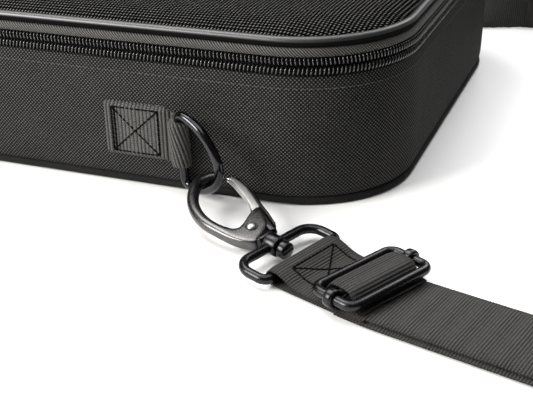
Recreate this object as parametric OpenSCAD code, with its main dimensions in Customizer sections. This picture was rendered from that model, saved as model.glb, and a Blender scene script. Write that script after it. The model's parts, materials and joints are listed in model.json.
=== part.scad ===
// Padded zip case with a detachable shoulder strap.
// Millimetres. Origin at the middle of the underside, +X along the front face,
// -Y out of the front face, +Z up. The strap lies round the case on the same floor.

/* [Case] */
// Length of the case along its front
case_l = 400; // [400:5:440]
// Depth of the case from front to back
case_d = 280; // [270:2:300]
// Height of the closed zip's centre line above the floor
zip_z = 69; // [68.6:0.1:69.6]
// Radius of the vertical corners
corner_r = 56; // [50:1:60]
// Thickness of the foam in the walls
foam_t = 6; // [4:0.5:8]
// Distance of each divider from the middle of the case
divider_x = 62; // [50:1:90]

/* [Trim] */
// Radius of the piping round the lid
piping_r = 2.5; // [2:0.1:2.6]
// Height of the piping's centre above the zip
piping_up = 10.8; // [10.6:0.1:11.4]
// Height of one row of zip coil
coil_h = 3.7; // [3:0.1:3.7]

/* [Strap] */
// Width of the shoulder strap webbing
strap_w = 40; // [36:1:40]
// Thickness of one layer of webbing
web_t = 1.6; // [1.4:0.1:1.6]
// Width of the webbing tabs that hold the D-rings
tab_w = 28; // [25:1:28]
// Length of the shoulder pad
pad_l = 210; // [160:5:220]

/* [Metalwork] */
// Wire radius of the D-rings
ring_r = 2.2; // [1.8:0.1:2.2]
// Wire radius of the swivel loops
loop_r = 2.2; // [1.8:0.1:2.2]
// Wire radius of the hook's bent nose
hook_r = 2.7; // [2.4:0.1:2.8]
// Wire radius of the strap adjuster
adj_r = 2.1; // [1.8:0.1:2.1]

/* [Hidden] */

$fn = 64;
hull_fn = 32;
half_l = case_l / 2;
half_d = case_d / 2;
front_y = -half_d;

// Walls, from the outside in: each value is a distance in from the wall's face.
skin_t = 1.2;
tape_in = 1.3;
tape_t = 0.8;
foam_in = 2.4;
lining_in = foam_in + foam_t;
lining_t = 0.8;
coil_proud = 0.6;
zip_gap = 0.2;
welt_r = 2;
welt_in = 1.4;
board_t = 2.3;
floor_foam_t = 4;
foam_z = 2 * welt_r + 0.1;
lining_z = foam_z + floor_foam_t;
base_top = zip_z - 0.1;
lid_z = zip_z + zip_gap;
coil_top = lid_z + coil_h;
piping_z = zip_z + piping_up;
piping_in = piping_r + 0.1;
lid_sheet_z = coil_top + 0.3;
dome_z = lid_sheet_z + 2.95;
dome_top = piping_z + 7.2;
back_half = half_l - corner_r;

// D-ring: a straight bar, two tight corners, two flat side arcs and a round end.
ring_pos = [half_l - 98, front_y - 6, 24.8];
ring_turn = [-31, 6.5, 7];
ring_reach = 27.4;
ring_half = 19.5;
ring_end_r = 12.4;
ring_corner_r = 4;
ring_dx = ring_reach - ring_end_r - ring_corner_r;
ring_side_r = (pow(ring_dx, 2) + pow(ring_half, 2) - pow(ring_end_r, 2))
    / (2 * (ring_half - ring_end_r));
ring_side_a = atan2(ring_side_r - ring_half, ring_dx);
tab_x0 = half_l - 141;
tab_x1 = half_l - 105;
tab_z = 15.4;
tab_t = 3.1;

// Swivel loop and hook: the loop's bar in the strap's fold is the origin of this group.
fold_pos = [half_l - 19.6, front_y - 53.9, 4.2];
gear_yaw = -21;
gear_pitch = 5;
hook_roll = 10;
bar_gap = 16.7;
loop_half = 23.8;
loop_corner_r = 7.8;
fold_corner_r = 3.8;
boss_r = 4.6;
boss_half = 3.6;
pin_r = 2.2;
run_fit = 0.06;

// Hook outline, measured from the boss towards the nose (first value) and across (second).
bow_c = [28.5, 25];
bow_r = 33;
nose_r = 9.6;
nose_a = -28.7;
nose_c = bow_c + (bow_r - nose_r) * [cos(nose_a), sin(nose_a)];
pivot = [13.8, 0.9];
rivet_r = 1.7;
cheek_out = 3;
cheek_in = 2;
gate_half = 1.8;
gate_reach = 42;

// Strap route on the floor, from the fold at the loop round the right side to the back.
end_len = 33;
run_yaw = -14;
bend_r = 160;
run_len = 66;
turn_r = 36;
side_yaw = 101;
corner_turn_r = 62;
back_y = half_d + 42;
flat_half = 150;
pad_w = 62;
pad_h = 9;
pad_lift = 0.8;
run_t = 2 * web_t + 0.1;

// Strap adjuster: a wire frame with a cross bar that rides on its two sides.
adj_pos = [half_l + 13.6, front_y - 64.4, 7.7];
adj_yaw = -27;
adj_half = 22.9;
adj_gap = 21.4;
adj_corner_r = 4.4;
eye_r = 3.9;

// Zip sliders: they meet left of the middle and run out towards the corners.
slider_meet_x = -45;
slider_gap = 9;
slider_t = 2;
crown_y = 3.3;
pull_len = 28;

// ---------- shared shapes ----------

// Plan of the case, moved in from its face by d.
module plan(d) {
    r = corner_r - d;
    square([2 * (half_l - corner_r), 2 * (half_d - d)], center = true);
    square([2 * (half_l - d), 2 * (half_d - corner_r)], center = true);
    for (x = [-1, 1], y = [-1, 1])
        translate([x * (half_l - corner_r), y * (half_d - corner_r)]) circle(r, $fn = 96);
}

module sheet(d, z0, z1) {
    translate([0, 0, z0]) linear_extrude(z1 - z0) plan(d);
}

module band(d0, d1, z0, z1) {
    translate([0, 0, z0]) linear_extrude(z1 - z0) difference() {
        plan(d0);
        plan(d1);
    }
}

// Round cord that follows the plan, d in from the face.
module cord_ring(d, z, r) {
    for (s = [-1, 1]) {
        translate([0, s * (half_d - d), z]) rotate([0, 90, 0])
            cylinder(r = r, h = 2 * (half_l - corner_r), center = true);
        translate([s * (half_l - d), 0, z]) rotate([90, 0, 0])
            cylinder(r = r, h = 2 * (half_d - corner_r), center = true);
    }
    for (q = [[1, 1, 0], [-1, 1, 90], [-1, -1, 180], [1, -1, 270]])
        translate([q[0] * (half_l - corner_r), q[1] * (half_d - corner_r), z]) rotate([0, 0, q[2]])
            rotate_extrude(angle = 90, $fn = 96) translate([corner_r - d, 0]) circle(r, $fn = 24);
}

// Bar of wire between two points in the XY plane.
module wire(p, q, r) {
    d = q - p;
    translate([p[0], p[1], 0]) rotate([0, 0, atan2(d[1], d[0])]) rotate([0, 90, 0])
        cylinder(r = r, h = norm(d), $fn = 32);
}

// Arc of wire in the XY plane.
module bent(c, path_r, r, a0, a1) {
    translate([c[0], c[1], 0]) rotate([0, 0, a0])
        rotate_extrude(angle = a1 - a0, $fn = 96) translate([path_r, 0]) circle(r, $fn = 24);
}

// Ball that closes the hair gap left between two lengths of bent wire.
module joint(p, r) {
    translate([p[0], p[1], 0]) sphere(r + 0.02, $fn = 48);
}

module at_left() {
    mirror([1, 0, 0]) children();
}

// ---------- case ----------

module wall_fabric() {
    color([0.10, 0.10, 0.11]) band(0, skin_t, foam_z, base_top - coil_h - 0.1);
}

module bottom_panel() {
    color([0.07, 0.07, 0.08]) sheet(welt_in + welt_r + 0.1, 0, 1.2);
}

module bottom_binding() {
    color([0.05, 0.05, 0.05]) cord_ring(welt_in, welt_r, welt_r);
}

module bottom_board() {
    color([0.25, 0.25, 0.26]) sheet(welt_in + welt_r + 0.3, 1.3, 1.3 + board_t);
}

module base_foam() {
    color([0.30, 0.30, 0.32]) {
        sheet(foam_in, foam_z, lining_z);
        band(foam_in, lining_in, foam_z, base_top);
    }
}

module base_lining() {
    color([0.16, 0.16, 0.18]) {
        sheet(lining_in, lining_z, lining_z + lining_t);
        band(lining_in, lining_in + lining_t, lining_z, base_top);
    }
}

module divider(x) {
    inner = half_d - lining_in - lining_t - 0.3;
    color([0.18, 0.18, 0.20]) translate([x - 4, -inner, lining_z + lining_t])
        cube([8, 2 * inner, 46]);
}

// The zip runs along the front, both sides and the corners, and stops at the back.
module zip_part(d0, d1, z0, z1) {
    difference() {
        band(d0, d1, z0, z1);
        translate([-back_half, half_d - 12, z0 - 1]) cube([2 * back_half, 24, z1 - z0 + 2]);
    }
}

module lower_zip_tape() {
    color([0.08, 0.08, 0.08]) zip_part(tape_in, tape_in + tape_t, base_top - 10, base_top);
}

module lower_zip_coil() {
    color([0.05, 0.05, 0.05]) zip_part(-coil_proud, skin_t, base_top - coil_h, base_top);
}

module hinge_fabric() {
    color([0.10, 0.10, 0.11]) translate([-back_half + 1, half_d + 0.05, zip_z - 9])
        cube([2 * back_half - 2, 0.9, 17]);
}

// ---------- lid ----------

// Low crowned block, shrunk by o on its sides and top.
module dome(o) {
    layers = [[dome_z, 2.7], [dome_z + 5.2, 3.4], [dome_top - 1.6 - o, 14], [dome_top - 0.2 - o, 30]];
    hull() for (k = layers) {
        d = piping_r + k[1] + o;
        for (x = [-1, 1], y = [-1, 1])
            translate([x * (half_l - corner_r), y * (half_d - corner_r), k[0]])
                cylinder(r = corner_r - d, h = 0.2, $fn = hull_fn);
    }
}

module lid_mesh() {
    color([0.20, 0.20, 0.21]) difference() {
        dome(0);
        dome(1);
    }
}

module lid_foam() {
    color([0.30, 0.30, 0.32]) dome(1.02);
}

module lid_board() {
    color([0.25, 0.25, 0.26]) sheet(tape_in + tape_t + 0.4, lid_sheet_z + 0.9, lid_sheet_z + 2.9);
}

module lid_lining() {
    color([0.16, 0.16, 0.18]) sheet(tape_in + tape_t + 0.2, lid_sheet_z, lid_sheet_z + 0.85);
}

module lid_pocket() {
    color([0.22, 0.22, 0.24]) sheet(22, lid_sheet_z - 1.2, lid_sheet_z);
}

module lid_band() {
    color([0.09, 0.09, 0.09]) band(0, skin_t, coil_top + 0.1, piping_z - piping_r);
}

module lid_piping() {
    color([0.04, 0.04, 0.04]) cord_ring(piping_in, piping_z, piping_r);
}

module upper_zip_tape() {
    color([0.08, 0.08, 0.08]) zip_part(tape_in, tape_in + tape_t, lid_z, lid_sheet_z + 2.6);
}

module upper_zip_coil() {
    color([0.05, 0.05, 0.05]) zip_part(-coil_proud, skin_t, lid_z, coil_top);
}

// ---------- zip sliders ----------

module at_slider() {
    translate([slider_meet_x + slider_gap, front_y, zip_z]) children();
}

module slider_body() {
    face = -coil_proud - 0.3;
    color([0.12, 0.12, 0.13]) at_slider() difference() {
        union() {
            translate([0, face, 0]) rotate([90, 0, 0]) linear_extrude(slider_t)
                polygon([[-7.5, 2.2], [-7.5, -2.2], [-2, -4.6], [7.5, -4.4], [7.5, 4.4], [-2, 4.6]]);
            translate([-3.4, face - slider_t - 2.6, -2]) cube([6.8, 2.7, 4]);
        }
        translate([0, -crown_y - 0.9, 0]) cylinder(r = 1.04, h = 20, center = true, $fn = 32);
    }
}

module slider_pull() {
    color([0.12, 0.12, 0.13]) at_slider() translate([0, -crown_y - 0.9, 0]) {
        cylinder(r = 0.98, h = 7.6, center = true, $fn = 32);
        for (s = [-1, 1])
            translate([-1, -0.6, s * 3.1 - 0.7]) cube([8, 1.2, 1.4]);
        difference() {
            translate([4.3, -0.6, -3.8]) cube([pull_len - 4.3, 1.2, 7.6]);
            translate([pull_len - 4, 0, 0]) rotate([90, 0, 0]) cylinder(r = 1.8, h = 4, center = true);
        }
    }
}

// The left slider is the right one turned round the meeting point.
module at_left_slider() {
    translate([2 * slider_meet_x, 0, 0]) mirror([1, 0, 0]) children();
}

// ---------- D-ring and tab ----------

module at_ring() {
    translate(ring_pos) rotate([0, 0, ring_turn[0]]) rotate([ring_turn[2], 0, 0])
        rotate([0, ring_turn[1], 0]) children();
}

module dring() {
    h = ring_half - ring_corner_r;
    side_y = ring_side_r - ring_half;
    color([0.13, 0.13, 0.14]) at_ring() rotate([90, 0, 0]) {
        wire([0, -h], [0, h], ring_r);
        bent([ring_corner_r, h], ring_corner_r, ring_r, 92, 179);
        bent([ring_corner_r, -h], ring_corner_r, ring_r, 181, 268);
        bent([ring_corner_r, -side_y], ring_side_r, ring_r, ring_side_a + 0.2, 89.8);
        bent([ring_corner_r, side_y], ring_side_r, ring_r, -89.8, -ring_side_a - 0.2);
        bent([ring_reach - ring_end_r, 0], ring_end_r, ring_r, 0.4 - ring_side_a, ring_side_a - 0.4);
        for (s = [-1, 1]) {
            joint([0, s * h], ring_r);
            joint([ring_corner_r, s * ring_half], ring_r);
            joint([ring_reach - ring_end_r + ring_end_r * cos(ring_side_a),
                s * ring_end_r * sin(ring_side_a)], ring_r);
        }
    }
}

module tab() {
    fold_r = ring_r + run_fit + 1.5;
    color([0.18, 0.18, 0.18]) difference() {
        union() {
            translate([tab_x0, front_y - tab_t, tab_z]) cube([tab_x1 - tab_x0, tab_t - 0.05, tab_w]);
            hull() {
                translate([tab_x1 - 6, front_y - tab_t, tab_z]) cube([1, tab_t - 0.05, tab_w]);
                at_ring() translate([0, 0, 1]) cylinder(r = fold_r, h = tab_w - 1, center = true, $fn = hull_fn);
            }
        }
        at_ring() cylinder(r = ring_r + run_fit, h = 2 * tab_w, center = true);
        translate([0, front_y - 0.05, 0]) cube([case_l, 20, 60]);
    }
}

// ---------- swivel loop and hook ----------

module at_loop() {
    translate(fold_pos) rotate([0, gear_pitch, gear_yaw]) children();
}

module at_hook() {
    at_loop() translate([-bar_gap, 0, 0]) rotate([hook_roll, 0, 0]) mirror([1, 0, 0]) children();
}

module swivel_loop() {
    w = loop_half;
    color([0.10, 0.10, 0.11]) at_loop() difference() {
        union() {
            wire([-bar_gap, loop_corner_r - w], [-bar_gap, w - loop_corner_r], loop_r);
            wire([0, fold_corner_r - w], [0, w - fold_corner_r], loop_r);
            for (s = [-1, 1])
                wire([loop_corner_r - bar_gap, s * w], [-fold_corner_r, s * w], loop_r);
            bent([loop_corner_r - bar_gap, w - loop_corner_r], loop_corner_r, loop_r, 90, 180);
            bent([loop_corner_r - bar_gap, loop_corner_r - w], loop_corner_r, loop_r, 180, 270);
            bent([-fold_corner_r, w - fold_corner_r], fold_corner_r, loop_r, 0, 90);
            bent([-fold_corner_r, fold_corner_r - w], fold_corner_r, loop_r, 270, 360);
            translate([-bar_gap, 0, 0]) rotate([0, 90, 0]) cylinder(r = boss_r, h = 2 * boss_half, center = true);
        }
        translate([-bar_gap, 0, 0]) rotate([0, 90, 0])
            cylinder(r = pin_r + run_fit, h = 3 * boss_half, center = true);
    }
}

// Outline of the flat cheeks that carry the gate's rivet.
cheek_pts = [
    [4.2, -3.2], [4.6, -6.4], [11, -9], [18.5, -10.3], [25, -10.2], [24, -5.2], [19.4, -4.6],
    [18.2, -1], [20, 4.6], [22, 11.4], [21.2, 13.6], [10.2, 7.3], [6.6, 3.8], [4.2, 3.4]
];
gate_slot_pts = [[7.4, 3.9], [8.9, -2], [13.8, -4.1], [18.8, -2.2], [26, 7], [28, 22], [-2, 22], [-2, 3.8]];
gate_pts = [
    [4.6, 7.4], [7, 8.5], [15.2, 12.6], [23.1, 16], [35.4, 21.6], [45.4, 24.2], [56, 24.6], [56, 22],
    [46, 21.4], [38.8, 18.8], [30.6, 15.2], [26, 12.8], [20.6, 7], [17.4, -0.6], [13.8, -3], [10.2, -1.6],
    [9.2, 2.6], [6.6, 5.2]
];

module hook_body() {
    color([0.24, 0.24, 0.26]) at_hook() difference() {
        union() {
            bent(bow_c, bow_r, hook_r, -122, nose_a - 0.2);
            bent(nose_c, nose_r, hook_r, nose_a + 0.7, 62);
            joint(bow_c + bow_r * [cos(nose_a), sin(nose_a)], hook_r);
            translate([0, 0, -cheek_out]) linear_extrude(2 * cheek_out) polygon(cheek_pts);
        }
        translate([0, 0, -cheek_in]) linear_extrude(2 * cheek_in) polygon(gate_slot_pts);
        translate([pivot[0], pivot[1], 0]) cylinder(r = rivet_r, h = 20, center = true);
        rotate([0, 90, 0]) cylinder(r = pin_r, h = 14, center = true);
    }
}

module hook_pin() {
    color([0.20, 0.20, 0.22]) at_hook() rotate([0, -90, 0]) {
        translate([0, 0, -7]) cylinder(r = pin_r, h = 12);
        translate([0, 0, boss_half + 0.6]) cylinder(r = 3.5, h = 4);
    }
}

module gate_rivet() {
    color([0.45, 0.45, 0.46]) at_hook() translate([pivot[0], pivot[1], 0]) {
        cylinder(r = rivet_r, h = 2 * cheek_out, center = true);
        for (s = [0, 1])
            mirror([0, 0, s]) translate([0, 0, cheek_out]) cylinder(r = 2.5, h = 0.8);
    }
}

module gate_spring() {
    color([0.6, 0.6, 0.6]) at_hook() translate([pivot[0], pivot[1], 0])
        rotate_extrude() for (z = [-0.9, -0.3, 0.3, 0.9])
            translate([2.4, z]) circle(0.4, $fn = 16);
}

module hook_gate() {
    color([0.32, 0.32, 0.33]) at_hook() difference() {
        intersection() {
            translate([0, 0, -gate_half]) linear_extrude(2 * gate_half) polygon(gate_pts);
            translate([pivot[0], pivot[1], 0]) cylinder(r = gate_reach, h = 20, center = true, $fn = 128);
        }
        translate([pivot[0], pivot[1], 0]) {
            cylinder(r = rivet_r + run_fit, h = 20, center = true);
            cylinder(r = 3, h = 3, center = true);
        }
    }
}

// ---------- strap ----------

// A station on the strap's route: [x, y, heading, bank, lift].
function line_to(p, a, l, b0, b1, n) = [
    for (i = [0 : n]) [p[0] + cos(a) * l * i / n, p[1] + sin(a) * l * i / n, a, b0 + (b1 - b0) * i / n, 0]
];
function arc_to(p, a, r, turn, b0, b1, n) = [
    for (i = [0 : n]) let (h = a + turn * i / n)
        [p[0] + r * (sin(h) - sin(a)), p[1] + r * (cos(a) - cos(h)), h, b0 + (b1 - b0) * i / n, 0]
];
function last(s) = s[len(s) - 1];
function tail(s) = [for (i = [1 : len(s) - 1]) s[i]];
// Four corners of the webbing's section, resting on its lower edge.
function section(s, t) =
    let (side = [-sin(s[2]) * cos(s[3]), cos(s[2]) * cos(s[3]), -sin(s[3])],
         up = [-sin(s[2]) * sin(s[3]), cos(s[2]) * sin(s[3]), cos(s[3])],
         mid = [s[0], s[1], s[4] + strap_w / 2 * abs(sin(s[3])) + t / 2 * abs(cos(s[3]))])
    [for (k = [[-1, -1], [1, -1], [1, 1], [-1, 1]]) mid + side * k[0] * strap_w / 2 + up * k[1] * t / 2];

module ribbon(s, t) {
    n = len(s);
    pts = [for (q = s) each section(q, t)];
    sides = [
        for (i = [0 : n - 2], k = [0 : 3])
            let (a = 4 * i + k, b = 4 * i + (k + 1) % 4)
                // Both broad faces are split the same way, so they stay a thickness apart in a twist.
                each k == 2
                    ? [[a, b, a + 4], [b, b + 4, a + 4]]
                    : [[a, b, b + 4], [a, b + 4, a + 4]]
    ];
    e = 4 * (n - 1);
    ends = [[3, 2, 1], [3, 1, 0], [e, e + 1, e + 2], [e, e + 2, e + 3]];
    polyhedron(pts, concat(sides, ends));
}

end_pos = [fold_pos[0] + end_len * cos(gear_yaw), fold_pos[1] + end_len * sin(gear_yaw)];
bend = arc_to(end_pos, gear_yaw, bend_r, run_yaw - gear_yaw, 0, 0, 4);
run = line_to(last(bend), run_yaw, run_len, 0, 0, 1);
turn = arc_to(last(run), run_yaw, turn_r, side_yaw - run_yaw, 0, 90, 16);
side_end_y = back_y - corner_turn_r * (1 + cos(side_yaw));
side_len = (side_end_y - last(turn)[1]) / sin(side_yaw);
side = line_to(last(turn), side_yaw, side_len, 90, 90, 1);
corner = arc_to(last(side), side_yaw, corner_turn_r, 180 - side_yaw, 90, 90, 9);
back_x = last(corner)[0];
twist_n = 12;
back_turn = [
    for (i = [0 : twist_n]) let (f = i / twist_n)
        [back_x + (flat_half - back_x) * f, back_y, 180, 90 * (1 - f), pad_lift * f]
];
back_mirror = [
    for (i = [0 : twist_n]) let (q = back_turn[twist_n - i]) [-q[0], q[1], 180, -q[3], q[4]]
];

module strap_end() {
    fold_r = loop_r + run_fit + web_t - 0.02;
    z = fold_pos[2];
    color([0.20, 0.20, 0.20]) translate([fold_pos[0], fold_pos[1], 0]) rotate([0, 0, gear_yaw])
        rotate([90, 0, 0]) difference() {
            union() {
                translate([0, z, 0]) cylinder(r = fold_r, h = strap_w, center = true);
                linear_extrude(strap_w, center = true) polygon([
                    [-1, z + fold_r - 0.3], [3, z + fold_r - 0.5], [14, run_t + 0.3], [20, run_t],
                    [end_len, run_t], [end_len, 0], [5, 0], [-1, z - fold_r + 0.3]
                ]);
            }
            translate([0, z, 0]) cylinder(r = loop_r + run_fit, h = strap_w + 2, center = true);
        }
}

module strap_run() {
    color([0.19, 0.19, 0.19]) ribbon(concat(bend, tail(run)), run_t);
}

module strap_side() {
    color([0.19, 0.19, 0.19]) ribbon(concat(turn, tail(side), tail(corner)), web_t);
}

module strap_back() {
    color([0.19, 0.19, 0.19]) ribbon(concat(back_turn, back_mirror), web_t);
}

module shoulder_pad() {
    color([0.12, 0.12, 0.12]) difference() {
        translate([0, back_y, 0]) linear_extrude(pad_h) {
            square([pad_l - 30, pad_w], center = true);
            square([pad_l, pad_w - 30], center = true);
            for (x = [-1, 1], y = [-1, 1])
                translate([x * (pad_l / 2 - 15), y * (pad_w / 2 - 15)]) circle(15);
        }
        translate([0, back_y, pad_lift + web_t / 2]) cube([pad_l + 2, strap_w + 1.4, web_t + 0.8], center = true);
    }
}

module at_adjuster() {
    translate(adj_pos) rotate([0, 0, adj_yaw]) children();
}

module adjuster_frame() {
    w = adj_half;
    g = adj_gap / 2;
    c = adj_corner_r;
    color([0.08, 0.08, 0.08]) at_adjuster() {
        for (s = [-1, 1]) {
            wire([s * g, c - w], [s * g, w - c], adj_r);
            wire([c - g, s * w], [g - c, s * w], adj_r);
        }
        bent([g - c, w - c], c, adj_r, 0, 90);
        bent([c - g, w - c], c, adj_r, 90, 180);
        bent([c - g, c - w], c, adj_r, 180, 270);
        bent([g - c, c - w], c, adj_r, 270, 360);
    }
}

module adjuster_bar() {
    color([0.08, 0.08, 0.08]) at_adjuster() difference() {
        union() {
            wire([0, -adj_half], [0, adj_half], adj_r);
            for (s = [-1, 1])
                translate([0, s * adj_half, 0]) rotate([0, 90, 0]) cylinder(r = eye_r, h = 4.2, center = true);
        }
        for (s = [-1, 1])
            translate([0, s * adj_half, 0]) rotate([0, 90, 0])
                cylinder(r = adj_r + run_fit, h = 12, center = true);
    }
}

// The loop of webbing that crosses over the adjuster's bar.
module adjuster_webbing() {
    z = run_t + 0.25 - adj_pos[2];
    crown = adj_r + 0.02;
    color([0.19, 0.19, 0.19]) at_adjuster() rotate([90, 0, 0])
        linear_extrude(2 * (adj_half - eye_r) - 0.8, center = true) difference() {
            polygon([
                [-14, z], [-12.6, z + 1.5], [-8.2, z + 1.6], [-4.4, crown + 0.2], [-2, crown + 1.4],
                [2, crown + 1.4], [4.4, crown + 0.2], [8.2, z + 1.6], [12.6, z + 1.5], [14, z],
                [7.6, z], [3.4, z + 2.4], [-3.4, z + 2.4], [-7.6, z]
            ]);
            circle(adj_r + 0.03);
        }
}

// ---------- output ----------

wall_fabric();
bottom_panel();
bottom_binding();
bottom_board();
base_foam();
base_lining();
divider(-divider_x);  // divider_left
divider(divider_x);  // divider_right
lower_zip_tape();
lower_zip_coil();
hinge_fabric();
lid_mesh();
lid_foam();
lid_board();
lid_lining();
lid_pocket();
lid_band();
lid_piping();
upper_zip_tape();
upper_zip_coil();
at_left_slider() slider_body();  // zip_slider_left
slider_body();  // zip_slider_right
at_left_slider() slider_pull();  // zip_pull_left
slider_pull();  // zip_pull_right
at_left() tab();  // tab_left
tab();  // tab_right
at_left() dring();  // dring_left
dring();  // dring_right
at_left() swivel_loop();  // swivel_loop_left
swivel_loop();  // swivel_loop_right
at_left() hook_body();  // hook_body_left
hook_body();  // hook_body_right
at_left() hook_pin();  // hook_pin_left
hook_pin();  // hook_pin_right
at_left() gate_rivet();  // gate_rivet_left
gate_rivet();  // gate_rivet_right
at_left() gate_spring();  // gate_spring_left
gate_spring();  // gate_spring_right
at_left() hook_gate();  // hook_gate_left
hook_gate();  // hook_gate_right
at_left() strap_end();  // strap_end_left
strap_end();  // strap_end_right
at_left() strap_run();  // strap_run_left
strap_run();  // strap_run_right
at_left() strap_side();  // strap_side_left
strap_side();  // strap_side_right
strap_back();
adjuster_frame();
adjuster_bar();
adjuster_webbing();
shoulder_pad();
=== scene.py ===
"""Padded zip case with a detachable shoulder strap, dressed round its CAD frame."""
import json
import math

import bpy
from mathutils import Matrix, Vector


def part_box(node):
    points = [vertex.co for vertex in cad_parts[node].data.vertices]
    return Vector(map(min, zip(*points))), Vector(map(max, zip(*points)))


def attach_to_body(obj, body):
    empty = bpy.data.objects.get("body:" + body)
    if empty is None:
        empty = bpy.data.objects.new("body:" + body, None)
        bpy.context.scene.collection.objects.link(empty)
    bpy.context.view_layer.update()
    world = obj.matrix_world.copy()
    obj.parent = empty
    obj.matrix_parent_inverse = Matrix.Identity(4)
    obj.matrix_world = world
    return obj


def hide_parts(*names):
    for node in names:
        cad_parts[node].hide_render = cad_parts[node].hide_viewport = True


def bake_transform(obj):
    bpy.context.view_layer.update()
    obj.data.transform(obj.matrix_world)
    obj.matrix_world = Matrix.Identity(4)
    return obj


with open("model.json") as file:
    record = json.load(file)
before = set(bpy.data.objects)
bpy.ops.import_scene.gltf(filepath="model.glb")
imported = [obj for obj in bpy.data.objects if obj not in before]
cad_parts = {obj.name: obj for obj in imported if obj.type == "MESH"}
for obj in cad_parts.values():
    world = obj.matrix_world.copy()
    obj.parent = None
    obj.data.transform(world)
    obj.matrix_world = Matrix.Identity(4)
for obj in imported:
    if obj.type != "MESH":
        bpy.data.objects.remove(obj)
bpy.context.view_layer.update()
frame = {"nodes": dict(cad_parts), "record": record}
MM = 0.001
JOINTS = {joint["name"]: joint for joint in frame["record"]["behaviour"]["joints"]}


def box_mm(node):
    """A CAD node's lowest and highest corners in millimetres."""
    low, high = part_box(node)
    return Vector(low) / MM, Vector(high) / MM


def joint_pos(name):
    """A joint's point in millimetres."""
    return Vector(JOINTS[name]["pos_m"]) / MM


def joint_axis(name):
    return Vector(JOINTS[name]["axis"]).normalized()


# ---------- sizes, in millimetres ----------

wall_low, wall_high = box_mm("wall_fabric")
HALF_L = wall_high.x
HALF_D = wall_high.y
FRONT_Y = wall_low.y
CORNER_R = 56.0
STRAP_W = 40.0
WEB_T = 1.6
RING_R = 2.2
LOOP_R = 2.2
ADJ_R = 2.15


# ---------- camera ----------

def make_camera():
    """A long lens looking down at the front right corner."""
    yaw, pitch, roll = 0.383, 0.456, 0.025
    level = math.cos(pitch)
    ahead = Vector((-math.sin(yaw) * level, math.cos(yaw) * level, -math.sin(pitch)))
    right = Vector((math.cos(yaw), math.sin(yaw), 0))
    down = ahead.cross(right)
    right, down = (
        right * math.cos(roll) + down * math.sin(roll),
        down * math.cos(roll) - right * math.sin(roll),
    )
    data = bpy.data.cameras.new("camera")
    data.lens = 70.74
    data.sensor_width = 36
    data.clip_start = 0.01
    camera = bpy.data.objects.new("camera", data)
    turn = Matrix((right, -down, -ahead)).transposed().to_4x4()
    camera.matrix_world = Matrix.Translation(Vector((0.3108, -0.5575, 0.2220))) @ turn
    bpy.context.scene.collection.objects.link(camera)
    bpy.context.scene.camera = camera


make_camera()


# ---------- material helpers ----------

class Shader:
    """A principled material and short calls for the nodes that feed it."""

    def __init__(self, name, rough=0.6, metal=0.0):
        self.material = bpy.data.materials.new(name)
        self.material.use_nodes = True
        self.tree = self.material.node_tree
        self.tree.nodes.clear()
        self.bsdf = self.node("ShaderNodeBsdfPrincipled")
        output = self.node("ShaderNodeOutputMaterial")
        self.tree.links.new(self.bsdf.outputs[0], output.inputs[0])
        self.bsdf.inputs["Roughness"].default_value = rough
        self.bsdf.inputs["Metallic"].default_value = metal

    def node(self, kind, **values):
        made = self.tree.nodes.new(kind)
        for key, value in values.items():
            setattr(made, key, value)
        return made

    def feed(self, socket, value):
        """Links a node's output to the socket, or sets a number or a colour."""
        if isinstance(value, bpy.types.NodeSocket):
            self.tree.links.new(value, socket)
        else:
            socket.default_value = (*value, 1.0) if isinstance(value, (tuple, list)) else value

    def math(self, operation, a, b=0.0, c=0.0):
        made = self.node("ShaderNodeMath", operation=operation)
        for socket, value in zip(made.inputs, (a, b, c)):
            self.feed(socket, value)
        return made.outputs[0]

    def cloth(self):
        """The two cloth coordinates, in millimetres."""
        source = self.node("ShaderNodeUVMap", uv_map="cloth")
        split = self.node("ShaderNodeSeparateXYZ")
        self.tree.links.new(source.outputs[0], split.inputs[0])
        return [self.times(split.outputs[k], 1 / MM) for k in (0, 1)]

    def noise(self, scale, detail=3.0):
        made = self.node("ShaderNodeTexNoise")
        made.inputs["Scale"].default_value = scale
        made.inputs["Detail"].default_value = detail
        place = self.node("ShaderNodeTexCoord").outputs["Object"]
        self.tree.links.new(place, made.inputs["Vector"])
        return made.outputs["Fac"]

    def ramp(self, value, low, high, out_low=0.0, out_high=1.0):
        made = self.node("ShaderNodeMapRange")
        for index, number in enumerate((low, high, out_low, out_high), start=1):
            made.inputs[index].default_value = number
        self.feed(made.inputs[0], value)
        return made.outputs[0]

    def mix(self, factor, a, b):
        """Colour a where factor is 0 and colour b where it is 1."""
        made = self.node("ShaderNodeMix", data_type="RGBA")
        for index, value in ((0, factor), (6, a), (7, b)):
            self.feed(made.inputs[index], value)
        return made.outputs[2]

    def times(self, a, b):
        return self.math("MULTIPLY", a, b)

    def plus(self, a, b):
        return self.math("ADD", a, b)

    def scaled(self, value, factor, base):
        """value * factor + base."""
        return self.math("MULTIPLY_ADD", value, factor, base)

    def wave(self, value, pitch):
        """0 to 1 ridge that repeats every pitch millimetres."""
        return self.math("ABSOLUTE", self.math("SINE", self.times(value, math.pi / pitch)))

    def mottle(self, scale, low=0.0, high=1.0, detail=3.0):
        """Soft patches between two values."""
        return self.ramp(self.noise(scale, detail), 0.3, 0.7, low, high)

    def colour(self, value):
        self.feed(self.bsdf.inputs["Base Color"], value)

    def rough(self, value):
        self.feed(self.bsdf.inputs["Roughness"], value)

    def bump(self, height, distance, strength=1.0):
        made = self.node("ShaderNodeBump")
        made.inputs["Distance"].default_value = distance * MM
        made.inputs["Strength"].default_value = strength
        self.feed(made.inputs["Height"], height)
        self.tree.links.new(made.outputs[0], self.bsdf.inputs["Normal"])

    def set(self, **values):
        for key, value in values.items():
            self.bsdf.inputs[key.replace("_", " ")].default_value = value
        return self


def toned(colour, factor):
    return [channel * factor for channel in colour]


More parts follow.
